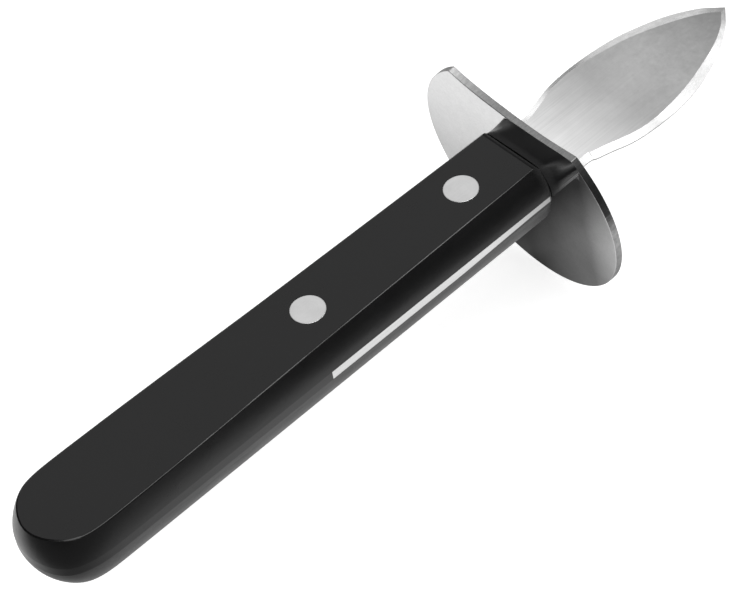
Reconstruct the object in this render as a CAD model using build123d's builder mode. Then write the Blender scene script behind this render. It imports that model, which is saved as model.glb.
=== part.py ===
# Oyster knife with a round hand guard. Millimetres.
# Frame: +X runs along the knife to the blade tip, +Z is up (out of the handle's flat top), +Y is the
# left side seen from the butt. The origin is on the handle's flat top, midway between the two rivets.
# The lengths and heights below are counted from the point where the blade leaves the rear face of the
# guard, in the middle plane of the steel; the planes KNIFE and CROSS carry that point.
from build123d import *
import math, os

os.makedirs("parts", exist_ok=True)

# ---- driving dimensions ------------------------------------------------------------------------
STEEL_T = 1.9                 # blade and tang stock
EDGE_T = 0.36                 # thickness left at the blade's edge
HANDLE_TOP, HANDLE_BOTTOM = 7.0, -7.0
HANDLE_FRONT = -6.85          # front end of the handle body
TANG_REAR = -64.6             # square end of the half tang
NECK_HALF = 8.0               # tang neck inside the collar and the guard
TOP_R, LOW_R, FRONT_R = 0.38, 1.1, 1.0   # rounded edges of the handle's top, underside and front end
BROW_R = 2.0                  # larger rounding where the top runs down to the collar
BROW_OUT = 0.04               # its centre sits this far out, so it meets the faces at a faint edge
RIDGE_HALF_T = 1.0            # flat land at the handle's widest level

RIVET_X = (-60.2, -20.73)     # rear, front
RIVET_HEAD_R, RIVET_HEAD_T = 3.5, 1.6
TUBE_R, TUBE_BORE_R, PIN_R = 2.1, 1.4, 1.4
TUBE_END, BORE_END, PIN_END = -4.6, 4.6, 3.4   # levels of the shank's end, the bore's bottom and the pin's tip
BODY_HOLE_R, TANG_HOLE_R = 2.1, 2.2

GUARD_T = 1.65
GUARD_R = 26.64
GUARD_CENTRE = (9.48, -15.76)             # disc centre in the plate's own plane (left, up)
GUARD_PITCH, GUARD_YAW = 4.31, -1.14      # lean of the plate, degrees
GUARD_TOP_Y = (-8.70, 25.40)              # where the trimmed top edge meets the disc, right and left
GUARD_TOP = [(-5.0, 3.34), (-0.5, 2.98), (3.7, 2.90), (9.2, 3.14), (14.9, 3.60), (20.5, 4.35)]   # slightly hollow top edge
GUARD_CORNER_R, GUARD_REAR_R, GUARD_FRONT_R = 0.35, 0.20, 0.12
SLOT_HALF, SLOT_HALF_T = 10.3, 0.98
EAR_HALF = 10.2                           # ears of the neck that fill the guard's slot

# plan outlines of the handle: (x, half width), front to butt
TOP_PLAN = [(-6.85, 6.87), (-27.8, 7.26), (-47.1, 7.66), (-68.95, 8.14), (-90.8, 8.84), (-105.7, 9.16),
            (-114.5, 9.26), (-119.4, 9.10), (-122.4, 8.46), (-124.75, 7.08), (-126.75, 4.80), (-127.95, 2.38), (-128.35, 0.0)]
MID_PLAN = [(-6.85, 10.06), (-27.8, 10.14), (-47.1, 10.21), (-68.95, 10.30), (-90.8, 10.38), (-105.7, 10.42),
            (-114.5, 10.44), (-120.0, 10.22), (-123.7, 9.42), (-126.55, 7.86), (-128.4, 5.42), (-129.33, 2.65), (-129.6, 0.0)]
LOW_PLAN = [(-6.85, 7.62), (-27.8, 7.70), (-47.1, 7.84), (-68.95, 8.02), (-90.8, 8.20), (-105.7, 8.32),
            (-114.5, 8.36), (-119.5, 8.18), (-122.1, 7.58), (-123.9, 6.50), (-125.5, 4.50), (-126.45, 2.25), (-126.75, 0.0)]

# blade outline and the line where the bevel starts: (x, half width on the left, half width on the right), then the tip
ROOT_X = 1.65
BLADE_EDGE = [(3.1, 8.95, 8.80), (5.3, 9.30, 9.20), (8.3, 10.10, 10.10), (10.6, 10.75, 10.90), (13.6, 11.35, 11.75),
              (16.3, 11.60, 12.15), (18.85, 11.70, 12.35), (22.3, 11.65, 12.42), (25.8, 11.40, 12.28), (29.4, 10.95, 11.80),
              (32.6, 10.30, 11.05), (36.0, 9.30, 9.95), (38.7, 8.40, 8.92), (41.9, 7.05, 7.38), (44.8, 5.45, 5.62), (47.5, 3.62, 3.76)]
BLADE_TIP = (51.2, -0.20)
BLADE_FLAT = [(3.1, 7.45, 7.45), (5.3, 7.75, 7.70), (8.3, 8.60, 8.55), (10.6, 9.35, 9.30), (13.6, 10.10, 10.25),
              (16.3, 10.38, 10.80), (18.85, 10.38, 11.02), (22.3, 10.05, 10.92), (25.8, 9.48, 10.52), (29.4, 8.76, 9.92),
              (32.6, 7.94, 9.16), (36.0, 6.72, 8.12), (38.7, 5.62, 7.26), (41.9, 4.12, 6.02), (44.8, 2.55, 4.55), (47.0, 1.10, 3.05)]
FLAT_TIP = (49.2, -1.00)

# collar sections at the handle and at the guard: rounded top from right to left, then the small flank facet,
# the undercut and the underside: (y, z)
COLLAR_REAR_TOP = [(-9.72, 0.95), (-9.52, 2.00), (-8.95, 3.20), (-8.05, 4.55), (-6.90, 5.75), (-4.90, 6.12), (0.0, 6.20),
                   (4.90, 6.12), (7.20, 5.82), (8.42, 4.74), (9.24, 3.30), (9.66, 2.00), (9.80, 0.95)]
COLLAR_REAR_LOW = [(9.70, -0.10), (8.10, -1.90), (5.80, -4.40)]
COLLAR_FRONT_TOP = [(-10.75, 2.10), (-10.50, 2.55), (-10.15, 3.10), (-9.60, 3.50), (-8.30, 3.66), (-4.60, 3.36), (0.0, 3.04),
                    (4.60, 2.98), (7.90, 3.04), (9.20, 3.00), (10.05, 2.70), (10.55, 2.25), (10.80, 1.75)]
COLLAR_FRONT_LOW = [(10.50, 0.80), (8.20, -1.30), (5.80, -3.90)]
COLLAR_FRONT_RIGHT = [(5.80, -3.90), (8.20, -1.30), (10.38, 1.05)]
COLLAR_END = 1.0              # lofted past the guard's rear face, then trimmed to it


def blend(a, b, k):
    """Plan outline a fraction k of the way from a to b."""
    return [(ax + (bx - ax) * k, ay + (by - ay) * k) for (ax, ay), (bx, by) in zip(a, b)]


def plan_sketch(plan):
    """Closed outline: one spline round the butt and a straight front."""
    left = [(x, y) for x, y in plan]
    right = [(x, -y) for x, y in reversed(plan[:-1])]
    pts = left + right
    Spline(*pts)
    Line(pts[-1], pts[0])


def blade_sketch(edge, tip):
    """Closed blade outline: two splines from the root to the tip and a straight root."""
    left = [(x, y) for x, y, _ in edge] + [tip]
    right = [(x, -y) for x, _, y in edge] + [tip]
    Line((ROOT_X, right[0][1]), (ROOT_X, left[0][1]))
    Line((ROOT_X, left[0][1]), left[0])
    Spline(*left, tangents=[(1, 0), (left[-1][0] - left[-2][0], left[-1][1] - left[-2][1])])
    Spline(*reversed(right), tangents=[(right[-2][0] - right[-1][0], right[-2][1] - right[-1][1]), (-1, 0)])
    Line(right[0], (ROOT_X, right[0][1]))


def collar_sketch(top, low, low_right=None):
    Spline(*top)
    left = [top[-1]] + low
    right = [(-y, z) for y, z in (low_right or list(reversed(low)))] + [top[0]]
    Polyline(*left)
    Line(left[-1], right[0])
    Polyline(*right)


# reference planes of the knife: its plan, and its cross sections
DATUM = (-(RIVET_X[0] + RIVET_X[1]) / 2, 0, -HANDLE_TOP)
KNIFE = Plane(origin=DATUM, x_dir=(1, 0, 0), z_dir=(0, 0, 1))
CROSS = Plane(origin=DATUM, x_dir=(0, 1, 0), z_dir=(1, 0, 0))
SIDE = Plane(origin=DATUM, x_dir=(1, 0, 0), z_dir=(0, -1, 0))
pitch, yaw = math.radians(GUARD_PITCH), math.radians(GUARD_YAW)
guard_normal = (math.cos(pitch) * math.cos(yaw), math.cos(pitch) * math.sin(yaw), math.sin(pitch))
guard_plane = Plane(origin=DATUM, x_dir=(-math.sin(yaw), math.cos(yaw), 0), z_dir=guard_normal)
guard_top = [(y, GUARD_CENTRE[1] + math.sqrt(GUARD_R ** 2 - (y - GUARD_CENTRE[0]) ** 2)) for y in GUARD_TOP_Y]
half_t = STEEL_T / 2

# ---- blade: blade, neck and half tang in one piece of steel ---------------------------------------
with BuildPart() as blade:
    # half tang, flush with the widest level of the handle
    with BuildSketch(KNIFE.offset(-half_t)):
        with BuildLine():
            plan_sketch(MID_PLAN)
        make_face()
    extrude(amount=STEEL_T)
    with BuildSketch(KNIFE.offset(-half_t)):
        with Locations(((TANG_REAR + HANDLE_FRONT) / 2, 0)):
            Rectangle(HANDLE_FRONT - TANG_REAR, 24)
    extrude(amount=STEEL_T, mode=Mode.INTERSECT)
    fillet(blade.edges().filter_by(Axis.Z).group_by(Axis.X)[-1], radius=FRONT_R)
    # neck through the collar and the guard
    with BuildSketch(KNIFE.offset(-half_t)):
        with Locations(((HANDLE_FRONT + ROOT_X) / 2, 0)):
            Rectangle(ROOT_X - HANDLE_FRONT, NECK_HALF * 2)
    extrude(amount=STEEL_T)
    # ears inside the guard's slot, following the lean of the plate
    with BuildSketch(KNIFE.offset(-half_t)):
        with BuildLine():
            lean = -guard_normal[1] / guard_normal[0] * EAR_HALF
            Polyline((0.12 - lean, -EAR_HALF), (GUARD_T - 0.10 - lean, -EAR_HALF),
                     (GUARD_T - 0.10 + lean, EAR_HALF), (0.12 + lean, EAR_HALF), close=True)
        make_face()
    extrude(amount=STEEL_T)
    # core of the blade at the thickness of its edge
    with BuildSketch(KNIFE.offset(-EDGE_T / 2)):
        with BuildLine():
            blade_sketch(BLADE_EDGE, BLADE_TIP)
        make_face()
    extrude(amount=EDGE_T)
    # bevelled upper and lower halves
    for side in (1, -1):
        with BuildSketch(KNIFE.offset(side * EDGE_T / 2)):
            with BuildLine():
                blade_sketch(BLADE_EDGE, BLADE_TIP)
            make_face()
        with BuildSketch(KNIFE.offset(side * half_t)):
            with BuildLine():
                blade_sketch(BLADE_FLAT, FLAT_TIP)
            make_face()
        loft(ruled=True)
    # rivet holes in the tang
    with BuildSketch(KNIFE.offset(-half_t)):
        with Locations(*[(x, 0) for x in RIVET_X]):
            Circle(TANG_HOLE_R)
    extrude(amount=STEEL_T, mode=Mode.SUBTRACT)
blade.part.label = "blade"

# ---- guard plate: a trimmed disc hung off-centre, leaning slightly forward at the bottom ---------
with BuildPart() as guard_plate:
    with BuildSketch(guard_plane) as disc:
        with BuildLine():
            ThreePointArc(guard_top[0], (GUARD_CENTRE[0], GUARD_CENTRE[1] - GUARD_R), guard_top[1])
            Spline(guard_top[0], *GUARD_TOP, guard_top[1])
        make_face()
        fillet(disc.vertices(), radius=GUARD_CORNER_R)
    extrude(amount=GUARD_T)
    rear_rims = guard_plate.faces().sort_by(lambda f: guard_plane.to_local_coords(f.center()).Z)[0].edges()
    fillet(rear_rims, radius=GUARD_REAR_R)
    front_rims = guard_plate.faces().sort_by(lambda f: guard_plane.to_local_coords(f.center()).Z)[-1].edges()
    fillet(front_rims, radius=GUARD_FRONT_R)
    with BuildSketch(CROSS.offset(-3)):
        Rectangle(SLOT_HALF * 2, SLOT_HALF_T * 2)
    extrude(amount=8, mode=Mode.SUBTRACT)
guard_plate.part.label = "guard_plate"

# ---- handle body ---------------------------------------------------------------------------------
# barrel-sided sections: the walls bulge from the flat faces out to the land at the tang's level
LEVELS = [
    (HANDLE_TOP, TOP_PLAN),
    (5.2, blend(TOP_PLAN, MID_PLAN, 0.46)),
    (3.1, blend(TOP_PLAN, MID_PLAN, 0.82)),
    (RIDGE_HALF_T, MID_PLAN),
]
LOW_LEVELS = [
    (-RIDGE_HALF_T, MID_PLAN),
    (-3.1, blend(MID_PLAN, LOW_PLAN, 0.18)),
    (-5.2, blend(MID_PLAN, LOW_PLAN, 0.54)),
    (HANDLE_BOTTOM, LOW_PLAN),
]
with BuildPart() as handle_body:
    for z, plan in reversed(LEVELS):
        with BuildSketch(KNIFE.offset(z)):
            with BuildLine():
                plan_sketch(plan)
            make_face()
    loft()
    for z, plan in reversed(LOW_LEVELS):
        with BuildSketch(KNIFE.offset(z)):
            with BuildLine():
                plan_sketch(plan)
            make_face()
    loft()
    with BuildSketch(KNIFE.offset(-RIDGE_HALF_T)):
        with BuildLine():
            plan_sketch(MID_PLAN)
        make_face()
    extrude(amount=RIDGE_HALF_T * 2)
    # rounding where the top runs down to the collar
    with BuildSketch(SIDE.offset(-12)):
        with BuildLine():
            brow = (HANDLE_FRONT - BROW_R + BROW_OUT, HANDLE_TOP - BROW_R + BROW_OUT)
            CenterArc(brow, BROW_R, 0, 90)
            Polyline((brow[0], brow[1] + BROW_R), (brow[0], HANDLE_TOP + 1), (HANDLE_FRONT + 1, HANDLE_TOP + 1),
                     (HANDLE_FRONT + 1, brow[1]), (brow[0] + BROW_R, brow[1]))
        make_face()
    extrude(amount=24, mode=Mode.SUBTRACT)
    low_face = handle_body.faces().sort_by(Axis.Z)[0]
    fillet(low_face.edges(), radius=LOW_R)
    front_face = handle_body.faces().sort_by(Axis.X)[-1]
    fillet(front_face.edges().sort_by(Axis.Z)[:-1], radius=FRONT_R)
    top_face = handle_body.faces().filter_by(Axis.Z).sort_by(Axis.Z)[-1]
    fillet(top_face.edges().sort_by(Axis.X)[:-1], radius=TOP_R)
    # slot for the half tang, open at the front and at both sides
    with BuildSketch(KNIFE.offset(-half_t)):
        with Locations(((TANG_REAR + 0) / 2, 0)):
            Rectangle(0 - TANG_REAR, 26)
    extrude(amount=STEEL_T, mode=Mode.SUBTRACT)
    # rivet holes and head recesses
    with BuildSketch(KNIFE.offset(HANDLE_BOTTOM)):
        with Locations(*[(x, 0) for x in RIVET_X]):
            Circle(BODY_HOLE_R)
    extrude(amount=HANDLE_TOP - HANDLE_BOTTOM, mode=Mode.SUBTRACT)
    for z0 in (HANDLE_TOP - RIVET_HEAD_T, HANDLE_BOTTOM):
        with BuildSketch(KNIFE.offset(z0)):
            with Locations(*[(x, 0) for x in RIVET_X]):
                Circle(RIVET_HEAD_R)
        extrude(amount=RIVET_HEAD_T, mode=Mode.SUBTRACT)
handle_body.part.label = "handle_body"

# ---- front collar between the handle and the guard ---------------------------------------------------
with BuildPart() as front_collar:
    with BuildSketch(CROSS.offset(HANDLE_FRONT)):
        with BuildLine():
            collar_sketch(COLLAR_REAR_TOP, COLLAR_REAR_LOW)
        make_face()
    with BuildSketch(CROSS.offset(COLLAR_END)):
        with BuildLine():
            collar_sketch(COLLAR_FRONT_TOP, COLLAR_FRONT_LOW, COLLAR_FRONT_RIGHT)
        make_face()
    loft(ruled=True)
    split(bisect_by=guard_plane, keep=Keep.BOTTOM)
    with BuildSketch(KNIFE.offset(-half_t)):
        with Locations((-3, 0)):
            Rectangle(16, NECK_HALF * 2)
    extrude(amount=STEEL_T, mode=Mode.SUBTRACT)
front_collar.part.label = "front_collar"

# ---- two-piece rivets -----------------------------------------------------------------------------
# upper half: flat head with a tubular shank; lower half: flat head with a solid pin pressed into the tube
with BuildPart() as rear_rivet_upper:
    with BuildSketch(KNIFE.offset(HANDLE_TOP - RIVET_HEAD_T)):
        with Locations((RIVET_X[0], 0)):
            Circle(RIVET_HEAD_R)
    extrude(amount=RIVET_HEAD_T)
    with BuildSketch(KNIFE.offset(TUBE_END)):
        with Locations((RIVET_X[0], 0)):
            Circle(TUBE_R)
    extrude(amount=HANDLE_TOP - RIVET_HEAD_T - TUBE_END)
    with BuildSketch(KNIFE.offset(TUBE_END)):
        with Locations((RIVET_X[0], 0)):
            Circle(TUBE_BORE_R)
    extrude(amount=BORE_END - TUBE_END, mode=Mode.SUBTRACT)
    fillet(rear_rivet_upper.edges().group_by(Axis.Z)[-1], radius=0.12)
rear_rivet_upper.part.label = "rear_rivet_upper"

with BuildPart() as rear_rivet_lower:
    with BuildSketch(KNIFE.offset(HANDLE_BOTTOM)):
        with Locations((RIVET_X[0], 0)):
            Circle(RIVET_HEAD_R)
    extrude(amount=RIVET_HEAD_T)
    with BuildSketch(KNIFE.offset(HANDLE_BOTTOM + RIVET_HEAD_T)):
        with Locations((RIVET_X[0], 0)):
            Circle(PIN_R)
    extrude(amount=PIN_END - (HANDLE_BOTTOM + RIVET_HEAD_T))
    fillet(rear_rivet_lower.edges().group_by(Axis.Z)[0], radius=0.12)
rear_rivet_lower.part.label = "rear_rivet_lower"

with BuildPart() as front_rivet_upper:
    with BuildSketch(KNIFE.offset(HANDLE_TOP - RIVET_HEAD_T)):
        with Locations((RIVET_X[1], 0)):
            Circle(RIVET_HEAD_R)
    extrude(amount=RIVET_HEAD_T)
    with BuildSketch(KNIFE.offset(TUBE_END)):
        with Locations((RIVET_X[1], 0)):
            Circle(TUBE_R)
    extrude(amount=HANDLE_TOP - RIVET_HEAD_T - TUBE_END)
    with BuildSketch(KNIFE.offset(TUBE_END)):
        with Locations((RIVET_X[1], 0)):
            Circle(TUBE_BORE_R)
    extrude(amount=BORE_END - TUBE_END, mode=Mode.SUBTRACT)
    fillet(front_rivet_upper.edges().group_by(Axis.Z)[-1], radius=0.12)
front_rivet_upper.part.label = "front_rivet_upper"

with BuildPart() as front_rivet_lower:
    with BuildSketch(KNIFE.offset(HANDLE_BOTTOM)):
        with Locations((RIVET_X[1], 0)):
            Circle(RIVET_HEAD_R)
    extrude(amount=RIVET_HEAD_T)
    with BuildSketch(KNIFE.offset(HANDLE_BOTTOM + RIVET_HEAD_T)):
        with Locations((RIVET_X[1], 0)):
            Circle(PIN_R)
    extrude(amount=PIN_END - (HANDLE_BOTTOM + RIVET_HEAD_T))
    fillet(front_rivet_lower.edges().group_by(Axis.Z)[0], radius=0.12)
front_rivet_lower.part.label = "front_rivet_lower"

export_step(blade.part, "parts/blade.step")
export_step(guard_plate.part, "parts/guard_plate.step")
export_step(handle_body.part, "parts/handle_body.step")
export_step(front_collar.part, "parts/front_collar.step")
export_step(rear_rivet_upper.part, "parts/rear_rivet_upper.step")
export_step(rear_rivet_lower.part, "parts/rear_rivet_lower.step")
export_step(front_rivet_upper.part, "parts/front_rivet_upper.step")
export_step(front_rivet_lower.part, "parts/front_rivet_lower.step")

for name, part in (("blade", blade), ("guard_plate", guard_plate), ("handle_body", handle_body), ("front_collar", front_collar),
                   ("rear_rivet_upper", rear_rivet_upper), ("rear_rivet_lower", rear_rivet_lower),
                   ("front_rivet_upper", front_rivet_upper), ("front_rivet_lower", front_rivet_lower)):
    bb = part.part.bounding_box()
    print(name, "solids", len(part.part.solids()), "volume", round(part.part.volume, 1), "valid", part.part.is_valid,
          "x", round(bb.min.X, 2), round(bb.max.X, 2), "y", round(bb.min.Y, 2), round(bb.max.Y, 2), "z", round(bb.min.Z, 2), round(bb.max.Z, 2))
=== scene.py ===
import math

import bpy
from mathutils import Matrix, Vector


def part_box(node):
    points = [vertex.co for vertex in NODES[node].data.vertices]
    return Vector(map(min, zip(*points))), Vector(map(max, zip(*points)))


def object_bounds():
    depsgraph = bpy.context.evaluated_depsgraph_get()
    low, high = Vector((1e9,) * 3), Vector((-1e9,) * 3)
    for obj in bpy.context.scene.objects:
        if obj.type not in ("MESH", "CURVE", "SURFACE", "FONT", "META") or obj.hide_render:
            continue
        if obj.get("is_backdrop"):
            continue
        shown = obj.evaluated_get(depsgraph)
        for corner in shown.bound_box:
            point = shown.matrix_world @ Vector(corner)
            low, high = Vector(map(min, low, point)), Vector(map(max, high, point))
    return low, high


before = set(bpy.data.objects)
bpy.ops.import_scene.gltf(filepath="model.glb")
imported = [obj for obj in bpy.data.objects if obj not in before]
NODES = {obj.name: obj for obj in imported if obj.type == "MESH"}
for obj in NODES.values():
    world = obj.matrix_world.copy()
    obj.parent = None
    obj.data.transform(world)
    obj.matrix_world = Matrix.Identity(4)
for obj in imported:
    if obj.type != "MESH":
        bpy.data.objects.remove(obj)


def plain(v):
    if isinstance(v, (int, float)):
        return float(v)
    return [plain(x) for x in v]


cad_box = plain(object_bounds())
NODES_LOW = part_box("guard_plate")[0][2]

# ---------------------------------------------------------------------------------------------
# shader helpers
# ---------------------------------------------------------------------------------------------
def new_material(name):
    m = bpy.data.materials.new(name)
    m.use_nodes = True
    nt = m.node_tree
    nt.nodes.clear()
    out = nt.nodes.new("ShaderNodeOutputMaterial")
    bsdf = nt.nodes.new("ShaderNodeBsdfPrincipled")
    nt.links.new(bsdf.outputs["BSDF"], out.inputs["Surface"])
    return m, nt, bsdf


class Net:
    """Small helper that adds nodes to a material's tree."""

    def __init__(self, nt):
        self.nt = nt

    def node(self, kind, **values):
        n = self.nt.nodes.new(kind)
        for k, v in values.items():
            setattr(n, k, v)
        return n

    def link(self, a, b):
        self.nt.links.new(a, b)

    def put(self, socket, value):
        if hasattr(value, "node"):
            self.link(value, socket)
        else:
            socket.default_value = value

    def coords(self, scale=(1, 1, 1), rotation=(0, 0, 0), location=(0, 0, 0)):
        tc = self.node("ShaderNodeTexCoord")
        mp = self.node("ShaderNodeMapping")
        mp.inputs["Scale"].default_value = scale
        mp.inputs["Rotation"].default_value = rotation
        mp.inputs["Location"].default_value = location
        self.link(tc.outputs["Object"], mp.inputs["Vector"])
        return mp.outputs["Vector"]

    def noise(self, vector, scale, detail=2.0, rough=0.5, distortion=0.0):
        n = self.node("ShaderNodeTexNoise")
        n.inputs["Scale"].default_value = scale
        n.inputs["Detail"].default_value = detail
        n.inputs["Roughness"].default_value = rough
        n.inputs["Distortion"].default_value = distortion
        self.link(vector, n.inputs["Vector"])
        return n.outputs["Fac"]

    def map(self, value, a, b, c, d, clamp=True):
        n = self.node("ShaderNodeMapRange", clamp=clamp)
        self.link(value, n.inputs["Value"])
        n.inputs["From Min"].default_value = a
        n.inputs["From Max"].default_value = b
        n.inputs["To Min"].default_value = c
        n.inputs["To Max"].default_value = d
        return n.outputs["Result"]

    def math(self, op, a, b=0.0):
        n = self.node("ShaderNodeMath", operation=op)
        self.put(n.inputs[0], a)
        self.put(n.inputs[1], b)
        return n.outputs[0]

    def grey(self, value, lo, hi, a=0.0, b=1.0):
        """Colour between two greys or colours, driven by value."""
        n = self.node("ShaderNodeMix", data_type="RGBA")
        self.link(self.map(value, a, b, 0.0, 1.0), n.inputs["Factor"])
        n.inputs["A"].default_value = (*lo, 1.0)
        n.inputs["B"].default_value = (*hi, 1.0)
        return n.outputs["Result"]

    def bump(self, height, strength, distance, normal=None):
        n = self.node("ShaderNodeBump")
        n.inputs["Strength"].default_value = strength
        n.inputs["Distance"].default_value = distance
        self.link(height, n.inputs["Height"])
        if normal is not None:
            self.link(normal, n.inputs["Normal"])
        return n.outputs["Normal"]


def axes(k):
    """Object position in metres and true surface normal, each split into x, y, z."""
    tc = k.node("ShaderNodeTexCoord")
    p = k.node("ShaderNodeSeparateXYZ")
    k.link(tc.outputs["Object"], p.inputs["Vector"])
    geo = k.node("ShaderNodeNewGeometry")
    n = k.node("ShaderNodeSeparateXYZ")
    k.link(geo.outputs["True Normal"], n.inputs["Vector"])
    return [p.outputs[i] for i in range(3)], [n.outputs[i] for i in range(3)]


def steel(k, nt, b, tone, rough, streak, bump, spread=(0.94, 1.06)):
    """Metal from a tone (base reflectance) field, with streaks of value, roughness and height."""
    b.inputs["Metallic"].default_value = 1.0
    value = k.math("MULTIPLY", tone, k.map(streak, 0.25, 0.75, spread[0], spread[1]))
    c = k.node("ShaderNodeCombineColor")
    for i, tint in enumerate((1.0, 1.0, 1.0)):
        k.link(value, c.inputs[i])
    k.link(c.outputs["Color"], b.inputs["Base Color"])
    k.link(k.math("ADD", rough, k.map(streak, 0.25, 0.75, 0.035, -0.035)), b.inputs["Roughness"])
    k.link(k.bump(streak, 1.0, bump), b.inputs["Normal"])


def streaks(k, along, across, rotation=(0, 0, 0)):
    """Brushing: long grains in three widths. along and across are the lengths and widths of the grains in mm."""
    parts = []
    for w, (l, a) in zip((0.40, 0.36, 0.24), zip(along, across)):
        sc = (1000.0 / l, 1000.0 / a, 1000.0 / a)
        parts.append(k.math("MULTIPLY", k.noise(k.coords(sc, rotation, (0.13 * l, 0.31 * a, 0.7)), 1.0, 2.0, 0.55), w))
    return k.math("ADD", k.math("ADD", parts[0], parts[1]), parts[2])


# blade: brushed along its length, with fine flecks near the root; painted reflection: the flat painted lighter at the
# root and darker toward the tip, the ground bevels painted brighter
mat_blade, nt, b = new_material("blade_steel")
k = Net(nt)
(px, py, pz), (nx, ny, nz) = axes(k)
long_brush = streaks(k, (22.0, 30.0, 45.0), (0.16, 0.42, 1.5))
fleck = k.noise(k.coords((900, 900, 900)), 1.0, 3.0, 0.6)
cloud = k.noise(k.coords((120, 120, 120), location=(0.2, 0.5, 0.1)), 1.0, 3.0, 0.55)
brush_part = k.map(px, 0.050, 0.074, 1.0, 0.22)
streak = k.math("ADD", k.math("MULTIPLY", long_brush, brush_part),
                k.math("MULTIPLY", fleck, k.math("SUBTRACT", 1.0, brush_part)))
# painted reflection: the flat's tone falls from the root toward the tip
flat_tone = k.math("ADD", k.map(px, 0.044, 0.060, 0.90, 0.53), k.map(px, 0.072, 0.091, 0.0, -0.24))
flat_tone = k.math("MULTIPLY", flat_tone, k.map(cloud, 0.3, 0.7, 0.95, 1.06))
bevel = k.map(nz, 0.955, 0.985, 1.0, 0.0)
under = k.map(nz, -0.985, -0.955, 0.0, 1.0)
bevel = k.math("MULTIPLY", bevel, under)
# painted reflection: each bevel gets tones of its own along its length, the left lightest at the root, the right
# rising toward the tip and falling off at the very tip
right_bevel = k.math("ADD", k.map(px, 0.060, 0.080, 0.33, 0.74), k.map(px, 0.0825, 0.0905, 0.0, -0.22))
left_bevel = k.map(px, 0.046, 0.060, 0.95, 0.60)
left_bevel = k.math("ADD", left_bevel, k.map(px, 0.064, 0.082, 0.0, 0.12))
left = k.map(py, -0.003, 0.003, 0.0, 1.0)
bevel_tone = k.math("ADD", k.math("MULTIPLY", left_bevel, left), k.math("MULTIPLY", right_bevel, k.math("SUBTRACT", 1.0, left)))
# the tang's edge, flush with the handle, gets a tone of its own, painted darker toward the collar as shade
on_tang = k.map(px, 0.036, 0.038, 1.0, 0.0)
# and toward the collar a thin dark line of painted shade runs along its lower edge
painted_lower_edge_shade = k.math("ADD", -0.00797, k.map(px, 0.009, 0.028, 0.0, 0.00064))
painted_lower_edge_shade = k.map(k.math("SUBTRACT", pz, painted_lower_edge_shade), -0.00007, 0.00007, 1.0, 0.0)
painted_lower_edge_shade = k.math("MULTIPLY", painted_lower_edge_shade, k.map(px, 0.007, 0.010, 0.0, 1.0))
tang_tone = k.math("MULTIPLY", k.map(px, 0.017, 0.033, 0.54, 0.27), k.map(painted_lower_edge_shade, 0.0, 1.0, 1.0, 0.10))
bevel_tone = k.math("ADD", k.math("MULTIPLY", bevel_tone, k.math("SUBTRACT", 1.0, on_tang)), k.math("MULTIPLY", on_tang, tang_tone))
tone = k.math("ADD", k.math("MULTIPLY", flat_tone, k.math("SUBTRACT", 1.0, bevel)), k.math("MULTIPLY", bevel, bevel_tone))
# the joint between the neck's ears and the guard is left rougher and darkened with painted shade
side = k.math("ABSOLUTE", py)
joint = k.math("MULTIPLY", k.map(px, 0.0424, 0.0428, 1.0, 0.0), k.map(px, 0.0388, 0.0392, 0.0, 1.0))
joint = k.math("MULTIPLY", joint, k.map(side, 0.0088, 0.0092, 0.0, 1.0))
tone = k.math("MULTIPLY", tone, k.map(joint, 0.0, 1.0, 1.0, 0.28))
rough = k.math("ADD", k.map(bevel, 0.0, 1.0, 0.33, 0.25), k.map(joint, 0.0, 1.0, 0.0, 0.3))
steel(k, nt, b, tone, rough, streak, 0.0000016, (0.885, 1.115))
b.inputs["Anisotropic"].default_value = 0.3

# guard: satin sheet steel, grain parallel to the trimmed edge, the sheared rim darker and coarser; the face and rim
# tones also carry painted reflection and painted shade
mat_guard, nt, b = new_material("guard_steel")
k = Net(nt)
(px, py, pz), (nx, ny, nz) = axes(k)
grain = streaks(k, (24.0, 16.0, 30.0), (0.20, 0.55, 2.2), (0, 0, math.radians(90)))
cloud = k.noise(k.coords((70, 70, 70), location=(0.4, 0.1, 0.9)), 1.0, 3.0, 0.55)
shear = k.noise(k.coords((900, 3400, 900)), 1.0, 3.0, 0.65)
ax = k.math("ABSOLUTE", nx)
rim = k.map(ax, 0.55, 0.9, 1.0, 0.0)
# painted reflection: the face lighter toward the top, darker lower down
face_tone = k.math("MULTIPLY", k.map(pz, -0.030, -0.008, 0.60, 0.80), k.map(cloud, 0.3, 0.7, 0.97, 1.03))
# painted shade and reflection: the right side painted darker under the handle's corner, as the reflection of the dark
# handle and its shadow, and brighter again toward the rim
warp = k.map(cloud, 0.25, 0.75, -0.0014, 0.0014, False)
across = k.math("ADD", py, warp)
lobe_tone = k.map(across, 0.010, -0.004, 0.070, 0.195)
lobe_tone = k.math("ADD", lobe_tone, k.map(across, -0.004, -0.0120, 0.0, 0.075))
lobe_tone = k.math("ADD", lobe_tone, k.map(across, -0.0090, -0.0174, 0.0, 0.30))
lobe_tone = k.math("MULTIPLY", lobe_tone, k.map(pz, -0.026, -0.010, 1.0, 0.60))
below = k.math("ADD", py, k.math("MULTIPLY", pz, 0.88))
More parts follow.
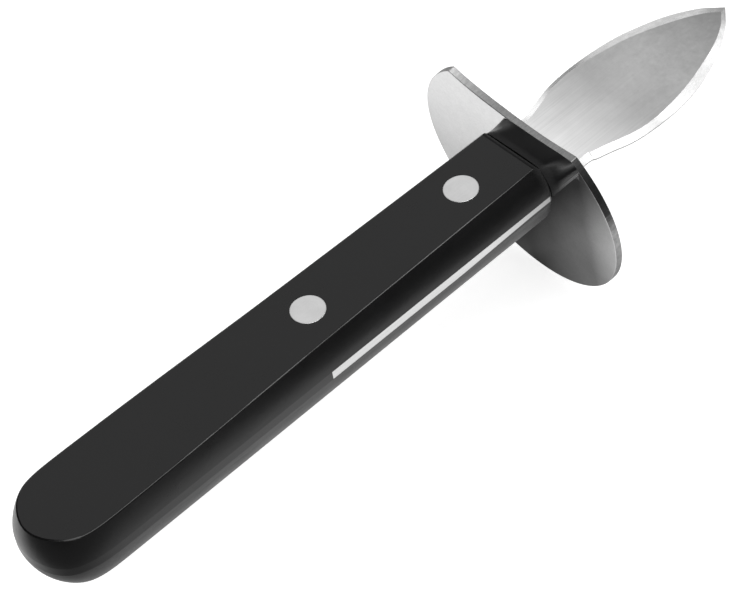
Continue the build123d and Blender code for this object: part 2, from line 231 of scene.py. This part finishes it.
# painted shade, darkest close to the collar; a painted lighter patch low on the left
lobe_tone = k.math("MULTIPLY", lobe_tone, k.map(below, -0.031, -0.0185, 1.0, 0.40))
lobe_tone = k.math("MULTIPLY", lobe_tone, k.map(below, -0.036, -0.044, 1.0, 0.90))
lobe_tone = k.math("MULTIPLY", lobe_tone, k.map(cloud, 0.3, 0.7, 0.84, 1.16))
low_left = k.math("MULTIPLY", k.map(py, 0.003, 0.014, 0.0, 0.9), k.map(below, -0.034, -0.029, 0.0, 1.0))
lobe_tone = k.math("MULTIPLY", lobe_tone, k.math("ADD", low_left, 1.0))
right_side = k.math("MULTIPLY", k.map(below, 0.000, -0.014, 0.0, 1.0), k.map(nx, -0.7, -0.9, 0.0, 1.0))
face_tone = k.math("ADD", k.math("MULTIPLY", face_tone, k.math("SUBTRACT", 1.0, right_side)), k.math("MULTIPLY", lobe_tone, right_side))
# painted reflection: the rim lighter toward the left
rim_tone = k.math("MULTIPLY", k.map(py, 0.012, 0.032, 0.29, 0.56), k.map(shear, 0.3, 0.7, 0.80, 1.22))
# painted shade: the right rim's faces that turn up and to the right are painted darker
up_right_rim_shade = k.math("MULTIPLY", k.map(ny, -0.35, -0.75, 0.0, 1.0), k.map(nz, 0.12, 0.32, 0.0, 1.0))
rim_tone = k.math("MULTIPLY", rim_tone, k.map(up_right_rim_shade, 0.0, 1.0, 1.0, 0.22))
tone = k.math("ADD", k.math("MULTIPLY", face_tone, k.math("SUBTRACT", 1.0, rim)), k.math("MULTIPLY", rim_tone, rim))
rough = k.map(rim, 0.0, 1.0, 0.34, 0.42)
steel(k, nt, b, tone, rough, grain, 0.0000014, (0.90, 1.10))
b.inputs["Specular Tint"].default_value = (0.33, 0.33, 0.33, 1.0)
b.inputs["Anisotropic"].default_value = 0.3


def plastic(name, seed, spec, low, high, highlight_grey=None):
    """Black moulded plastic: fine spark-eroded grain, faint flow clouds, a few light hairline scratches."""
    m, nt, b = new_material(name)
    k = Net(nt)
    b.inputs["Specular IOR Level"].default_value = spec
    grain = k.noise(k.coords((1, 1, 1), location=(seed, 0, 0)), 3200.0, 3.0, 0.6)
    cloud = k.noise(k.coords((1, 1, 1), location=(0.3, seed, 0.2)), 110.0, 3.0, 0.55)
    hair = k.noise(k.coords((30, 5200, 5200), (0, 0, 0.35), (seed, 0.2, 0.1)), 1.0, 1.0, 0.4)
    hair = k.math("MULTIPLY", k.map(hair, 0.735, 0.80, 0.0, 1.0), k.map(cloud, 0.45, 0.6, 0.0, 1.0))
    tone = k.math("ADD", k.math("MULTIPLY", grain, 0.5), k.math("MULTIPLY", cloud, 0.5))
    base = k.grey(tone, (0.0022, 0.0022, 0.0023), (0.0046, 0.0046, 0.0048), 0.3, 0.7)
    (px, py, pz), (nx, ny, nz) = axes(k)
    if highlight_grey is not None:
        # painted highlight: the right lower edge is painted grey toward the guard
        edge_highlight = k.math("MULTIPLY", k.map(px, 0.0352, 0.0398, 0.0, 1.0), k.map(py, -0.0085, -0.0097, 0.0, 1.0))
        edge_highlight = k.math("MULTIPLY", edge_highlight, k.math("MULTIPLY", k.map(nz, 0.50, 0.15, 0.0, 1.0), k.map(nz, -0.6, -0.4, 0.0, 1.0)))
        highlighted = k.node("ShaderNodeMix", data_type="RGBA")
        k.link(edge_highlight, highlighted.inputs["Factor"])
        k.link(base, highlighted.inputs["A"])
        highlighted.inputs["B"].default_value = (highlight_grey, highlight_grey, highlight_grey, 1.0)
        base = highlighted.outputs["Result"]
    k.link(base, b.inputs["Base Color"])
    rough = k.math("ADD", k.map(tone, 0.3, 0.7, low, high), k.math("MULTIPLY", hair, 0.10))
    # the crease between the handle and the collar is left duller
    crease = k.math("MULTIPLY", k.map(px, 0.0316, 0.0332, 0.0, 1.0), k.map(px, 0.0356, 0.0340, 0.0, 1.0))
    # and the edge round the top is polished by handling
    edge = k.math("MULTIPLY", k.map(nz, 0.70, 0.80, 0.0, 1.0), k.map(nz, 0.995, 0.975, 0.0, 1.0))
    edge = k.math("MULTIPLY", edge, k.map(pz, -0.0008, -0.0005, 0.0, 1.0))
    rough = k.math("MULTIPLY", rough, k.map(edge, 0.0, 1.0, 1.0, 0.5))
    rough = k.math("ADD", rough, k.map(nz, -0.02, -0.25, 0.0, 0.16))
    k.link(k.math("ADD", rough, k.math("MULTIPLY", crease, 0.34)), b.inputs["Roughness"])
    height = k.math("SUBTRACT", grain, k.math("MULTIPLY", hair, 0.8))
    k.link(k.bump(height, 0.35, 0.000012), b.inputs["Normal"])
    return m


mat_handle = plastic("handle_plastic", 0.0, 0.36, 0.26, 0.36)
mat_collar = plastic("collar_plastic", 0.7, 0.30, 0.27, 0.36, 0.24)

# rivets: soft metal faced flush, with fine turning marks about each rivet's own axis
def rivet(name, cx):
    m, nt, b = new_material(name)
    k = Net(nt)
    (px, py, pz), (nx, ny, nz) = axes(k)
    dx = k.math("SUBTRACT", px, cx)
    r = k.math("SQRT", k.math("ADD", k.math("MULTIPLY", dx, dx), k.math("MULTIPLY", py, py)))
    v = k.node("ShaderNodeCombineXYZ")
    k.link(k.math("MULTIPLY", r, 5200.0), v.inputs[0])
    rings = k.noise(v.outputs[0], 1.0, 2.0, 0.6)
    drag = k.noise(k.coords((140, 2300, 2300), (0, 0, 0.5), (cx, 0, 0)), 1.0, 2.0, 0.55)
    cloud = k.noise(k.coords((420, 420, 420), location=(cx, 0.4, 0.3)), 1.0, 2.0, 0.5)
    streak = k.math("ADD", k.math("MULTIPLY", rings, 0.6), k.math("MULTIPLY", drag, 0.4))
    # painted shade: the tone falls off toward the rivet's rim, standing for a thin gap round the flush rivet
    rim = k.map(r, 0.00322, 0.00348, 1.0, 0.72)
    tone = k.math("MULTIPLY", k.map(cloud, 0.3, 0.7, 0.69, 0.76), rim)
    steel(k, nt, b, tone, k.map(cloud, 0.3, 0.7, 0.30, 0.36), streak, 0.0000012, (0.955, 1.045))
    return m


MATS = {"blade": mat_blade, "guard_plate": mat_guard, "handle_body": mat_handle, "front_collar": mat_collar}
for end in ("rear", "front"):
    lo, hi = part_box(end + "_rivet_upper")
    m = rivet(end + "_rivet_metal", (lo[0] + hi[0]) / 2)
    MATS[end + "_rivet_upper"] = m
    MATS[end + "_rivet_lower"] = m
for name, mat in MATS.items():
    o = NODES[name]
    o.data.materials.clear()
    o.data.materials.append(mat)

# ---------------------------------------------------------------------------------------------
# floor, light and camera
# ---------------------------------------------------------------------------------------------
FLOOR_Z = NODES_LOW - 0.0002
floor_mesh = bpy.data.meshes.new("floor")
floor_mesh.from_pydata([(-3, -3, FLOOR_Z), (3, -3, FLOOR_Z), (3, 3, FLOOR_Z), (-3, 3, FLOOR_Z)], [], [(0, 1, 2, 3)])
floor = bpy.data.objects.new("floor", floor_mesh)
bpy.context.scene.collection.objects.link(floor)
m, nt, b = new_material("floor_paper")
k = Net(nt)
paper = k.noise(k.coords((1, 1, 1)), 900.0, 3.0, 0.6)
(px, py, pz), _ = axes(k)
# the floor glows as a light table; its colour and glow are painted as one soft-edged, rounded pool of light, dimmer
# beyond it
u = k.math("ADD", k.math("ADD", k.math("MULTIPLY", px, -0.748), k.math("MULTIPLY", py, -0.663)), 0.049)
v = k.math("ADD", k.math("MULTIPLY", k.math("ADD", k.math("MULTIPLY", px, -0.684), k.math("MULTIPLY", py, 0.729)), 0.8), -0.024)
far = k.math("POWER", k.math("ADD", k.math("POWER", k.math("ABSOLUTE", u), 4.0), k.math("POWER", k.math("ABSOLUTE", v), 4.0)), 0.25)
edge = k.node("ShaderNodeMapRange", interpolation_type="SMOOTHSTEP")
k.link(far, edge.inputs["Value"])
for socket, value in (("From Min", 0.097), ("From Max", 0.165), ("To Min", 1.0), ("To Max", 0.20)):
    edge.inputs[socket].default_value = value
painted_light_pool = edge.outputs["Result"]
c = k.node("ShaderNodeCombineColor")
value = k.math("MULTIPLY", painted_light_pool, k.map(paper, 0.3, 0.7, 0.59, 0.61))
for i in range(3):
    k.link(value, c.inputs[i])
k.link(c.outputs["Color"], b.inputs["Base Color"])
b.inputs["Emission Color"].default_value = (1.0, 1.0, 1.0, 1.0)
k.link(k.math("MULTIPLY", painted_light_pool, k.map(paper, 0.3, 0.7, 0.75, 0.77)), b.inputs["Emission Strength"])
b.inputs["Roughness"].default_value = 0.9
b.inputs["Specular IOR Level"].default_value = 0.1
floor.data.materials.append(m)
floor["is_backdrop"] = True

# soft studio surroundings: a dim room with soft boxes and cards, each a smooth lobe round a direction
world = bpy.data.worlds.new("studio")
bpy.context.scene.world = world
world.use_nodes = True
wt = world.node_tree
wt.nodes.clear()
wk = Net(wt)
wo = wk.node("ShaderNodeOutputWorld")
bg = wk.node("ShaderNodeBackground")
direction = wk.node("ShaderNodeTexCoord").outputs["Generated"]


def lobe(axis, inner, outer, strength):
    ax = Vector(axis).normalized()
    d = wk.node("ShaderNodeVectorMath", operation="DOT_PRODUCT")
    wk.link(direction, d.inputs[0])
    d.inputs[1].default_value = ax
    r = wk.node("ShaderNodeMapRange", interpolation_type="SMOOTHSTEP")
    wk.link(d.outputs["Value"], r.inputs["Value"])
    r.inputs["From Min"].default_value = math.cos(math.radians(outer))
    r.inputs["From Max"].default_value = math.cos(math.radians(inner))
    r.inputs["To Min"].default_value = 0.0
    r.inputs["To Max"].default_value = strength
    return r.outputs["Result"]


ROOM = 0.08
LOBES = [
    ((-0.15, -0.45, 0.88), 12, 34, 2.9),     # overhead key, over the camera's shoulder
    ((0.377, -0.25, 0.89), 5, 15, 3.8),      # overhead strip, four parts
    ((0.377, -0.276, 0.874), 2, 5, 7.0),
    ((0.68, -0.11, 0.73), 8, 16, 1.2),
    ((0.00, -0.16, 0.99), 8, 22, 1.2),
    ((0.81, -0.20, 0.55), 4, 11, 1.5),       # the strip goes on down, beyond the tip
    ((0.91, -0.24, 0.34), 5, 12, 1.15),
    ((0.98, -0.13, 0.17), 5, 12, 1.15),
    ((0.17, 0.95, 0.26), 5, 12, 0.9),        # small card beside the blade's root
    ((0.70, -0.60, 0.36), 5, 12, 1.8),       # small card low on the right
    ((0.34, 0.55, 0.76), 14, 28, 0.78),      # broad fill on the left, high
    ((0.40, 0.90, 0.12), 14, 28, 0.95),      # and low
]
total = None
for spec in LOBES:
    v = lobe(*spec)
    total = v if total is None else wk.math("ADD", total, v)
total = wk.math("ADD", total, ROOM)
bg.inputs["Color"].default_value = (1, 1, 1, 1)
wk.link(total, bg.inputs["Strength"])
wk.link(bg.outputs["Background"], wo.inputs["Surface"])

cam_data = bpy.data.cameras.new("camera")
cam = bpy.data.objects.new("camera", cam_data)
bpy.context.scene.collection.objects.link(cam)
right = Vector((0.725464, -0.676475, -0.126823))
up = Vector((0.575923, 0.495767, 0.650022))
back = Vector((-0.376849, -0.544607, 0.749258))
rot = Matrix((right, up, back)).transposed().to_4x4()
cam.matrix_world = Matrix.Translation((-0.253744, -0.358057, 0.483753)) @ rot
cam_data.sensor_fit = "HORIZONTAL"
cam_data.sensor_width = 36.0
cam_data.lens = 171.1957
cam_data.clip_start = 0.01
cam_data.clip_end = 20.0
bpy.context.scene.camera = cam

scene = bpy.context.scene
scene.view_settings.view_transform = "Standard"
scene.view_settings.look = "None"
scene.view_settings.exposure = 0.0
scene.view_settings.gamma = 1.0

{"cad": cad_box, "visual": plain(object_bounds())}
